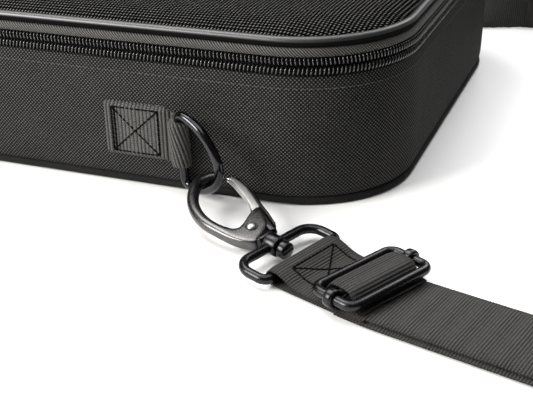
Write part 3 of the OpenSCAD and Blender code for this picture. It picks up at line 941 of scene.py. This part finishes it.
def in_hook(s, t, h=0.0):
    """A point of the hook: s towards the nose, t across, h off its flat side."""
    return boss_pos - loop_x * s + hook_y * t + hook_z * h


def lathe(centre, axis, profile, sides=32):
    """A turned shape: profile is (distance along the axis, radius)."""
    side = axis.orthogonal().normalized()
    other = axis.cross(side)
    verts = []
    for along, radius in profile:
        for k in range(sides):
            a = 2 * math.pi * k / sides
            verts.append(centre + axis * along + (side * math.cos(a) + other * math.sin(a)) * radius)
    return verts, bar_faces(len(profile), sides)


def both_ways(half, *middle):
    """Half a profile, its middle, and its mirror image walked back."""
    return [*half, *middle, *[(-a, b) for a, b in reversed(half)]]


def up_and_back(half, *middle):
    """The same, mirrored in the other coordinate."""
    return [*half, *middle, *[(a, -b) for a, b in reversed(half)]]


def join(*shapes):
    """Several (vertices, faces) shapes as one."""
    verts, faces = [], []
    for v, f in shapes:
        start = len(verts)
        verts += list(v)
        faces += [tuple(index + start for index in face) for face in f]
    return verts, faces


def make_loop():
    half, corner, fold_corner = 23.8, 7.8, 3.8
    gap = BAR_GAP
    flat = [(-gap, corner - half + (2 * half - 2 * corner) * k / 6) for k in range(6)]
    flat += arc((corner - gap, half - corner), corner, 180, 90, 10)[:-1]
    flat += [(corner - gap + (gap - corner - fold_corner) * k / 3, half) for k in range(3)]
    flat += arc((-fold_corner, half - fold_corner), fold_corner, 90, 0, 8)[:-1]
    flat += [(0.0, half - fold_corner - (2 * half - 2 * fold_corner) * k / 8) for k in range(8)]
    flat += arc((-fold_corner, fold_corner - half), fold_corner, 0, -90, 8)[:-1]
    flat += [(-fold_corner - (gap - corner - fold_corner) * k / 3, -half) for k in range(3)]
    flat += arc((corner - gap, corner - half), corner, 270, 180, 10)[:-1]
    wire = tube([in_loop(u, t) for u, t in flat], LOOP_R, 24, True)
    profile = both_ways([(-3.6, 2.5), (-3.6, 3.9), (-3.3, 4.4), (-2.8, 4.6)])
    boss = lathe(boss_pos, loop_x, profile)
    add_pair("loop_wire", join(wire, boss), BLACK_METAL, "loop_{}", "black_metal", "swivel_loop")


def loft(pairs, steps, sides=28):
    """A bar whose section spans each pair of points.

    Each entry is (inner s, inner t, outer s, outer t, half thickness, squareness).
    """
    stations = smooth_path(pairs, steps)
    verts = []
    for s0, t0, s1, t1, thick, square in stations:
        middle_s, middle_t = (s0 + s1) / 2, (t0 + t1) / 2
        half_s, half_t = (s1 - s0) / 2, (t1 - t0) / 2
        for k in range(sides):
            a = 2 * math.pi * (k + 0.5) / sides
            c, d = math.cos(a), math.sin(a)
            wide = math.copysign(abs(c) ** (2 / square), c)
            high = math.copysign(abs(d) ** (2 / square), d)
            verts.append(in_hook(middle_s + half_s * wide, middle_t + half_t * wide, thick * high))
    return verts, bar_faces(len(stations), sides)


BOW_CENTRE = (28.5, 25.0)
BOW_R = 33.0
NOSE_R = 9.6
NOSE_TURN = -28.7
WIRE_R = 2.75
nose_centre = (
    BOW_CENTRE[0] + (BOW_R - NOSE_R) * math.cos(math.radians(NOSE_TURN)),
    BOW_CENTRE[1] + (BOW_R - NOSE_R) * math.sin(math.radians(NOSE_TURN)),
)


def wire_pairs(centre, radius, start, end, steps, square):
    """Inner and outer points of a bent bar."""
    inner = arc(centre, radius - WIRE_R, start, end, steps)
    outer = arc(centre, radius + WIRE_R, start, end, steps)
    return [(*a, *b, WIRE_R, square) for a, b in zip(inner, outer)]


def make_hook():
    pairs = [
        # The flat plate, from its tip beside the gate down to the neck.
        (22.3, 11.6, 21.6, 13.8, 2.2, 3.0),
        (21.9, 9.4, 17.6, 11.7, 2.6, 7.0),
        (20.6, 5.6, 11.4, 8.0, 2.7, 9.0),
        (19.4, 2.4, 8.4, 3.6, 2.7, 9.0),
        (18.6, -0.6, 6.8, -1.4, 2.7, 9.0),
        (18.6, -2.6, 6.0, -5.6, 2.7, 8.0),
        (20.4, -4.4, 10.6, -8.8, 2.7, 5.0),
        (23.8, -5.0, 18.0, -10.4, 2.7, 3.0),
    ]
    pairs += wire_pairs(BOW_CENTRE, BOW_R, -92, NOSE_TURN, 7, 2.3)
    pairs += wire_pairs(nose_centre, NOSE_R, NOSE_TURN + 15, 60, 5, 2.2)
    add_pair("hook_bar", loft(pairs, 7), HOOK_METAL, "hook_{}", "hook_metal", "hook_body")
    neck = loft([
        (9.8, -4.2, 9.8, 3.8, 2.2, 6.0), (7.4, -4.5, 7.4, 4.4, 2.5, 6.0),
        (6.0, -4.6, 6.0, 4.6, 3.1, 6.0), (4.8, -4.4, 4.8, 4.4, 3.6, 6.0),
        (3.7, -3.7, 3.7, 3.6, 3.5, 5.0),
    ], 3)
    add_pair("hook_neck", neck, BLACK_METAL, "hook_{}", "hook_metal")
    head = lathe(boss_pos, loop_x, [
        (-4.6, 1.9), (4.0, 1.9), (4.0, 3.3), (4.4, 3.8), (5.0, 3.95),
        (7.6, 3.95), (8.1, 3.7), (8.3, 3.2), (8.3, 0.6),
    ])
    add_pair("pin_head", head, BLACK_METAL, "hook_{}", "hook_metal", "hook_pin")
    # Painted shade: a near-black rod across the pin head's flat end stands in for the slot.
    slot_shade_bar = tube([boss_pos + loop_x * 8.32 + hook_y * t for t in (-3.1, 3.1)], 0.35, 8)
    add_pair("pin_slot_shade", slot_shade_bar, THREAD_AND_SHADE, "hook_{}", "hook_metal")
    centre = joint_pos("gate_pivot_right")
    rivet = lathe(centre, hook_z, [
        (-3.8, 0.3), (-3.7, 1.3), (-3.4, 1.9), (-2.8, 2.1), (2.8, 2.1),
        (3.1, 2.05), (3.5, 1.75), (3.85, 1.1), (3.95, 0.3),
    ], 28)
    add_pair("rivet", rivet, GATE_METAL, "hook_{}", "gate_metal", "gate_rivet")
    seat = lathe(centre, hook_z, [(2.6, 2.9), (2.84, 2.8), (2.84, 2.3), (2.6, 2.2)], 28)
    add_pair("rivet_seat", seat, BLACK_METAL, "hook_{}", "gate_metal")


def make_gate():
    heel = loft([
        (6.8, 5.6, 4.8, 7.5, 1.5, 2.6),
        (10.2, 5.6, 8.2, 9.1, 1.8, 4.0),
        (16.6, 7.2, 15.2, 12.5, 1.8, 5.0),
        (22.0, 9.4, 21.6, 15.2, 1.78, 6.0),
        (24.2, 11.2, 24.2, 16.4, 1.7, 6.0),
    ], 6)
    bar = loft([
        (22.0, 9.4, 21.6, 15.2, 1.8, 6.0),
        (27.0, 13.4, 27.0, 17.7, 1.8, 6.0),
        (34.4, 17.0, 33.4, 20.8, 1.8, 6.0),
        (41.0, 19.6, 40.0, 23.1, 1.8, 6.0),
        (45.6, 21.3, 45.2, 24.0, 1.8, 6.0),
        (48.2, 21.9, 48.0, 24.1, 1.7, 5.0),
    ], 6)
    add_pair("gate_bar", bar, GATE_METAL, "gate_{}", "gate_metal", "hook_gate")
    # The dark outer flank of the gate, with thumb ribs near its heel.
    flank = loft([
        (8.6, 9.1, 7.6, 9.9, 1.5, 3.0), (15.2, 12.2, 14.4, 13.7, 1.7, 3.0),
        (22.0, 15.0, 21.4, 16.7, 1.7, 3.0), (33.6, 20.5, 33.0, 22.1, 1.6, 3.0),
        (45.4, 23.8, 45.2, 25.0, 1.5, 3.0),
    ], 6, 16)
    ribs = []
    for k in range(6):
        ribs.append([in_hook(9.0 + 1.5 * k, 10.5 + 0.68 * k, h) for h in (-1.4, 0.0, 1.4)])
    flank = join(heel, flank, rods(ribs, 0.42))
    add_pair("gate_flank", flank, BLACK_METAL, "gate_{}", "gate_metal")
    tongue = loft([
        (47.4, 22.0, 47.4, 23.9, 1.4, 3.0), (48.7, 21.9, 48.7, 23.6, 1.4, 3.0),
        (49.6, 21.8, 49.6, 22.9, 1.2, 2.4),
    ], 3, 16)
    add_pair("gate_tongue", tongue, BRIGHT_METAL, "gate_{}", "gate_metal")


# ---------- strap ----------

GEAR_YAW = math.degrees(math.atan2(loop_x.y, loop_x.x))
strap_dir = Vector((loop_x.x, loop_x.y, 0)).normalized()
strap_side = Vector((-strap_dir.y, strap_dir.x, 0))
END_LEN = 33.0
RUN_YAW = -14.0
BEND_R = 160.0
RUN_LEN = 66.0
TURN_R = 36.0
SIDE_YAW = 101.0
CORNER_TURN_R = 62.0
BACK_Y = HALF_D + 42.0
FLAT_HALF = 150.0
PAD_L, PAD_W, PAD_H = 210.0, 62.0, 9.0
PAD_LIFT = 0.8


def line_to(p, heading, length, bank, steps, lift=0.0):
    """Stations (x, y, heading, bank, lift) along a straight run of strap."""
    a = math.radians(heading)
    return [
        (p[0] + math.cos(a) * length * i / steps, p[1] + math.sin(a) * length * i / steps,
         heading, bank, lift)
        for i in range(steps + 1)
    ]


def arc_to(p, heading, radius, turn, bank0, bank1, steps):
    """Stations along a bend, whose bank goes from bank0 to bank1."""
    result = []
    a = math.radians(heading)
    for i in range(steps + 1):
        h = math.radians(heading + turn * i / steps)
        result.append((
            p[0] + radius * (math.sin(h) - math.sin(a)), p[1] + radius * (math.cos(a) - math.cos(h)),
            math.degrees(h), bank0 + (bank1 - bank0) * i / steps, 0.0,
        ))
    return result


def rows_of(stations, thick, start=0.0, lift=0.0, shift=0.0):
    """Ribbon rows for stations of (x, y, heading, bank, lift), resting on their lower edge."""
    rows = []
    length = start
    for i, (x, y, heading, bank, rise) in enumerate(stations):
        if i:
            length += math.hypot(x - stations[i - 1][0], y - stations[i - 1][1])
        h, b = math.radians(heading), math.radians(bank)
        side = Vector((-math.sin(h) * math.cos(b), math.cos(h) * math.cos(b), -math.sin(b)))
        up = Vector((-math.sin(h) * math.sin(b), math.cos(h) * math.sin(b), math.cos(b)))
        z = rise + lift + STRAP_W / 2 * abs(math.sin(b)) + thick / 2 * abs(math.cos(b))
        rows.append((Vector((x, y, z)) + side * shift, side, up, length))
    return rows


def make_strap_end():
    """One piece of webbing, folded round the loop's bar and sewn to itself."""
    z = fold_pos.z
    ground = Vector((fold_pos.x, fold_pos.y, 0))
    wrap = LOOP_R + WEB_T / 2 + 0.05
    side_view = [(END_LEN + 14, 2.4), (END_LEN, 2.42), (24, 2.5), (17, 2.7), (12, 3.5),
                 (7.5, 5.3), (3.2, 7.0)]
    side_view += arc((0, z), wrap, 78, 262, 10)
    side_view += [(4.0, 0.9), (10, 0.8), (20, 0.8), (END_LEN, 0.8)]
    curve = smooth_path(side_view, 6)
    points = [ground + strap_dir * d + Vector((0, 0, h)) for d, h in curve]
    rows = path_rows(points, strap_side, 0.3)
    piece = ribbon("strap_end", rows, STRAP_W, WEB_T - 0.05, 10, 0.2)
    pair(piece, "strap_end_webbing", "case_base", "webbing", "strap_end")

    def height_at(d):
        for (d0, h0), (d1, h1) in zip(curve, curve[1:]):
            if d1 <= d <= d0:
                return h0 + (h1 - h0) * (d - d0) / (d1 - d0)
        return 2.4

    def on_top(d, w, lift):
        height = Vector((0, 0, height_at(d) + WEB_T / 2 + lift))
        return ground + strap_dir * d + strap_side * w + height

    seam = stitched(box_x(4.6, 22.0, -12.5, 14.5), on_top, 0.3, 0.42)
    add_pair("strap_end_seam", seam, THREAD_AND_SHADE, "case_base", "webbing")


def make_strap_runs():
    start = (fold_pos.x + END_LEN * strap_dir.x, fold_pos.y + END_LEN * strap_dir.y)
    bend = arc_to(start, GEAR_YAW, BEND_R, RUN_YAW - GEAR_YAW, 0, 0, 40)
    run = line_to(bend[-1], RUN_YAW, RUN_LEN, 0, 160)
    flat = bend + run[1:]
    lower = ribbon("lower", rows_of(flat, 1.55, END_LEN, 0.0, -0.8), STRAP_W, 1.5, 8, 0.16)
    pair(lower, "strap_lower", "case_base", "webbing", "strap_run")
    upper = ribbon("upper", rows_of(flat, 1.55, END_LEN, 1.66, 0.4), STRAP_W - 1.2, 1.5, 8, 0.16)
    pair(upper, "strap_upper", "case_base", "webbing")
    turn = arc_to(run[-1], RUN_YAW, TURN_R, SIDE_YAW - RUN_YAW, 0, 90, 60)
    side_end_y = BACK_Y - CORNER_TURN_R * (1 + math.cos(math.radians(SIDE_YAW)))
    side_len = (side_end_y - turn[-1][1]) / math.sin(math.radians(SIDE_YAW))
    side = line_to(turn[-1], SIDE_YAW, side_len, 90, 60)
    corner = arc_to(side[-1], SIDE_YAW, CORNER_TURN_R, 180 - SIDE_YAW, 90, 90, 24)
    stations = turn + side[1:] + corner[1:]
    along = END_LEN + 86.0
    piece = ribbon("side", rows_of(stations, WEB_T, along), STRAP_W, WEB_T - 0.1)
    pair(piece, "strap_side_webbing", "case_base", "webbing", "strap_side")
    back_x = corner[-1][0]
    twist = []
    for i in range(41):
        f = i / 40
        twist.append((back_x + (FLAT_HALF - back_x) * f, BACK_Y, 180.0, 90 * (1 - f), PAD_LIFT * f))
    flat_part = line_to((FLAT_HALF, BACK_Y), 180.0, 2 * FLAT_HALF, 0, 40, PAD_LIFT)
    other = [(-x, y, 180.0, -b, r) for x, y, _, b, r in reversed(twist)]
    back = twist + flat_part[1:] + other[1:]
    piece = ribbon("strap_back_webbing", rows_of(back, WEB_T), STRAP_W, WEB_T - 0.1)
    attach(piece, "case_base", "webbing", "strap_back")


adj_low, adj_high = box_mm("adjuster_frame")
ADJ_POS = (adj_low + adj_high) / 2
ADJ_YAW = math.radians(-27.0)
adj_x = Vector((math.cos(ADJ_YAW), math.sin(ADJ_YAW), 0))
adj_y = Vector((-math.sin(ADJ_YAW), math.cos(ADJ_YAW), 0))


def in_adjuster(a, b, h=0.0):
    return ADJ_POS + adj_x * a + adj_y * b + Vector((0, 0, h))


def make_adjuster():
    half, gap, corner = 22.9, 10.7, 4.4
    flat = []
    for cx, cy, start in ((gap, half, 0), (-gap, half, 90), (-gap, -half, 180), (gap, -half, 270)):
        centre = (math.copysign(gap - corner, cx), math.copysign(half - corner, cy))
        flat += arc(centre, corner, start, start + 90, 8)
    wire = tube([in_adjuster(a, b) for a, b in flat], ADJ_R, 24, True)
    add("adjuster_wire", wire, BLACK_METAL, "adjuster", "black_metal", "adjuster_frame")
    bar = tube([in_adjuster(0, b) for b in (-20, -10, 0, 10, 20)], ADJ_R, 20)
    profile = both_ways([(-2.1, 2.5), (-2.1, 3.3), (-1.7, 3.8), (-1.0, 3.95)])
    eyes = [lathe(in_adjuster(0, b), adj_x, profile) for b in (-half, half)]
    add("adjuster_crossbar", join(bar, *eyes), BLACK_METAL, "adjuster", "black_metal", "adjuster_bar")
    level = 4.4 - ADJ_POS.z
    top = ADJ_R + WEB_T / 2 + 0.1
    side_view = [
        (-12.6, level - 0.4), (-10.6, level - 0.1), (-8.6, level + 0.9), (-5.5, top - 0.9),
        (-2.5, top - 0.05), (0, top), (2.5, top - 0.1), (5.5, top - 1.1),
        (8.6, level + 0.8), (10.6, level - 0.1), (12.6, level - 0.4),
    ]
    points = [in_adjuster(a, 0, h) for a, h in smooth_path(side_view, 8)]
    rows = path_rows(points, adj_y * -1, 0.3)
    rows = [(m, s, u * -1, l) for m, s, u, l in rows]
    piece = ribbon("adjuster_arch", rows, 2 * half - 8.6, WEB_T - 0.1, 10, 0.2)
    attach(piece, "adjuster", "webbing", "adjuster_webbing")


def make_pad():
    """Shoulder pad: two crowned faces that meet at a bound edge."""
    half_l, half_w = PAD_L / 2, PAD_W / 2
    verts, uvs = [], []
    nx, ny = 84, 28
    corner = 15.0
    mid_z = PAD_H / 2 - 0.6
    for face in (1, -1):
        for i in range(nx + 1):
            for j in range(ny + 1):
                a, b = -1 + 2 * i / nx, -1 + 2 * j / ny
                x, y = a * half_l, b * half_w
                over_x, over_y = abs(x) - (half_l - corner), abs(y) - (half_w - corner)
                if over_x > 0 and over_y > 0:
                    reach = max(over_x, over_y) / math.hypot(over_x, over_y)
                    x = math.copysign(half_l - corner + over_x * reach, x)
                    y = math.copysign(half_w - corner + over_y * reach, y)
                edge = min(1.0, (1 - max(abs(a), abs(b))) * 3.2)
                puff = math.sqrt(max(0.0, edge * (2 - edge)))
                channel = 0.72 + 0.28 * abs(math.sin(math.pi * (x + half_l) / 42.0)) ** 0.5
                height = (PAD_H / 2 - 0.9) * puff * channel
                z = mid_z + (height if face > 0 else -min(height, mid_z - 0.05))
                verts.append((x, BACK_Y + y, z))
                uvs.append((x, y))
    columns = ny + 1
    faces = grid_faces(nx + 1, columns)
    count = (nx + 1) * columns
    faces += [tuple(reversed([v + count for v in face])) for face in grid_faces(nx + 1, columns)]
    rim = [j for j in range(columns)] + [i * columns + ny for i in range(1, nx + 1)]
    rim += [nx * columns + j for j in range(ny - 1, -1, -1)]
    rim += [i * columns for i in range(nx - 1, 0, -1)]
    for k, a in enumerate(rim):
        b = rim[(k + 1) % len(rim)]
        faces.append((a, b, b + count, a + count))
    pad = make_object("shoulder_pad_cover", verts, faces, PAD_FABRIC, uvs)
    attach(pad, "shoulder_pad", "pad_fabric", "shoulder_pad")
    edge_line = [Vector(verts[k]) for k in rim]
    binding = tube([(p.x, p.y, mid_z) for p in edge_line], 0.95, 8, True)
    add("shoulder_pad_binding", binding, BAND, "shoulder_pad", "pad_fabric")


# ---------- zip sliders ----------

def slab(points, low, high, place, bevel=0.5):
    """A plate from an outline, with a small chamfer: place(a, b, height) gives each corner."""
    centre = (sum(p[0] for p in points) / len(points), sum(p[1] for p in points) / len(points))
    verts = []
    for height, shrink in ((low, bevel), (low + bevel, 0.0), (high - bevel, 0.0), (high, bevel)):
        for a, b in points:
            da, db = a - centre[0], b - centre[1]
            size = math.hypot(da, db)
            verts.append(place(a - da / size * shrink, b - db / size * shrink, height))
    return verts, bar_faces(4, len(points))


def make_sliders():
    for side, sign in (("right", 1), ("left", -1)):
        pivot = joint_pos("zip_pull_" + side + "_hinge")
        face_y = FRONT_Y - 0.9

        def place(a, b, out, pivot=pivot, sign=sign):
            return (pivot.x + sign * a, face_y - out, pivot.z + b)

        edge = up_and_back([(-6.6, -2.6), (-2, -4.6), (6.4, -4.4), (7.5, -3.4)])
        plate = slab([(-7.5, 1.6), (-7.5, -1.6), *edge], 0.0, 2.0, place)
        profile = both_ways([(-3.6, 1.2), (-3.2, 3.6), (-1.6, 4.7)])
        bridge = tube([place(a, 0, out) for a, out in profile], 0.85, 10)
        node = "zip_slider_" + side
        add("slider_" + side, join(plate, bridge), BLACK_METAL, node, "black_metal", node, smooth=False)
        ring = [(0, -3.0), (0, 0), (0, 3.0), *up_and_back([(0.8, 3.8), (5.5, 3.4), (8, 2.9)])]
        link = tube([place(a, b, 3.3) for a, b in ring], 0.75, 10, True)

        def flat(a, b, out):
            return place(a, b, 2.7 + out)

        edge = up_and_back([(7.4, -2.6), (9, -3.6), (25, -3.8), (27.3, -2.6)], (28, 0))
        tongue = slab(edge, 0.0, 1.3, flat, 0.3)
        grip = [tube([place(a, b, 4.1) for b in (-2.6, 2.6)], 0.3, 8) for a in (12, 14.5, 17, 19.5, 22)]
        pull = join(link, tongue, *grip)
        node = "zip_pull_" + side
        add("pull_" + side, pull, BLACK_METAL, node, "black_metal", node, smooth=False)


# ---------- inside ----------

def make_inside():
    for node, material in (
        ("bottom_panel", PANEL), ("bottom_board", BOARD), ("base_foam", FOAM),
        ("lower_zip_tape", TAPE_BACK), ("upper_zip_tape", TAPE_BACK),
        ("lid_foam", FOAM), ("lid_board", BOARD),
        ("gate_spring_left", BRIGHT_METAL), ("gate_spring_right", BRIGHT_METAL),
    ):
        piece = frame["nodes"][node]
        piece.data.materials.clear()
        piece.data.materials.append(material)
    for side in ("left", "right"):
        low, high = box_mm("divider_" + side)
        middle_x = (low.x + high.x) / 2
        verts, uvs = [], []
        half = [(-3.6, 0.0), (-4.1, 8.0), (-4.2, 24.0), (-3.9, 40.0), (-2.8, 44.8)]
        outline = smooth_path(both_ways(half, (0.0, 46.0)), 4)
        rows = 40
        for i in range(rows + 1):
            y = low.y + (high.y - low.y) * i / rows
            pinch = 0.75 + 0.25 * math.sin(math.pi * i / rows) ** 0.25
            for x, z in outline:
                verts.append((middle_x + x * pinch, y, low.z + z))
                uvs.append((y, z))
        columns = len(outline)
        faces = grid_faces(rows + 1, columns)
        faces.append(tuple(range(columns)))
        faces.append(tuple(rows * columns + k for k in reversed(range(columns))))
        piece = make_object("divider_pad_" + side, verts, faces, LINING, uvs)
        attach(piece, "case_base", "lining", "divider_" + side)


# ---------- floor and lights ----------

def make_floor():
    mesh = bpy.data.meshes.new("floor")
    size = 4.0
    corners = [(-size, -size, 0), (size, -size, 0), (size, size, 0), (-size, size, 0)]
    mesh.from_pydata(corners, [], [(0, 1, 2, 3)])
    s = Shader("floor")
    s.colour((0.92, 0.92, 0.92))
    mesh.materials.append(s.material)
    floor = bpy.data.objects.new("floor", mesh)
    floor.location.z = -0.0004
    bpy.context.scene.collection.objects.link(floor)


def area_light(name, place, target, size, power, colour=(1, 1, 1)):
    data = bpy.data.lights.new(name, "AREA")
    data.shape = "RECTANGLE"
    data.size, data.size_y = size
    data.energy = power
    data.color = colour
    light = bpy.data.objects.new(name, data)
    light.location = place
    light.rotation_euler = (Vector(target) - Vector(place)).to_track_quat("-Z", "Y").to_euler()
    bpy.context.scene.collection.objects.link(light)


def make_lights():
    world = bpy.data.worlds.new("studio")
    world.use_nodes = True
    world.node_tree.nodes["Background"].inputs[0].default_value = (1, 1, 1, 1)
    world.node_tree.nodes["Background"].inputs[1].default_value = 0.10
    bpy.context.scene.world = world
    bpy.context.scene.view_settings.view_transform = "Standard"
    area_light("key", (-0.95, -1.1, 0.85), (0.05, -0.15, 0.03), (0.9, 0.7), 46.0, (1.0, 0.985, 0.95))
    area_light("top", (-0.5, 0.25, 1.25), (0.1, -0.1, 0.05), (0.9, 0.6), 15.0, (1.0, 0.99, 0.97))
    area_light("overhead", (0.05, -0.1, 1.5), (0.1, -0.1, 0.0), (1.4, 1.2), 15.5)
    area_light("behind", (0.45, 1.4, 1.3), (0.3, -0.05, 0.0), (1.1, 0.9), 22.0)


make_wall()
make_bottom()
make_coils()
make_lid_trim()
make_lid_top()
make_hinge()
make_linings()
make_dring()
make_tab()
make_loop()
make_hook()
make_gate()
make_strap_end()
make_strap_runs()
make_adjuster()
make_pad()
make_sliders()
make_inside()
make_floor()
make_lights()
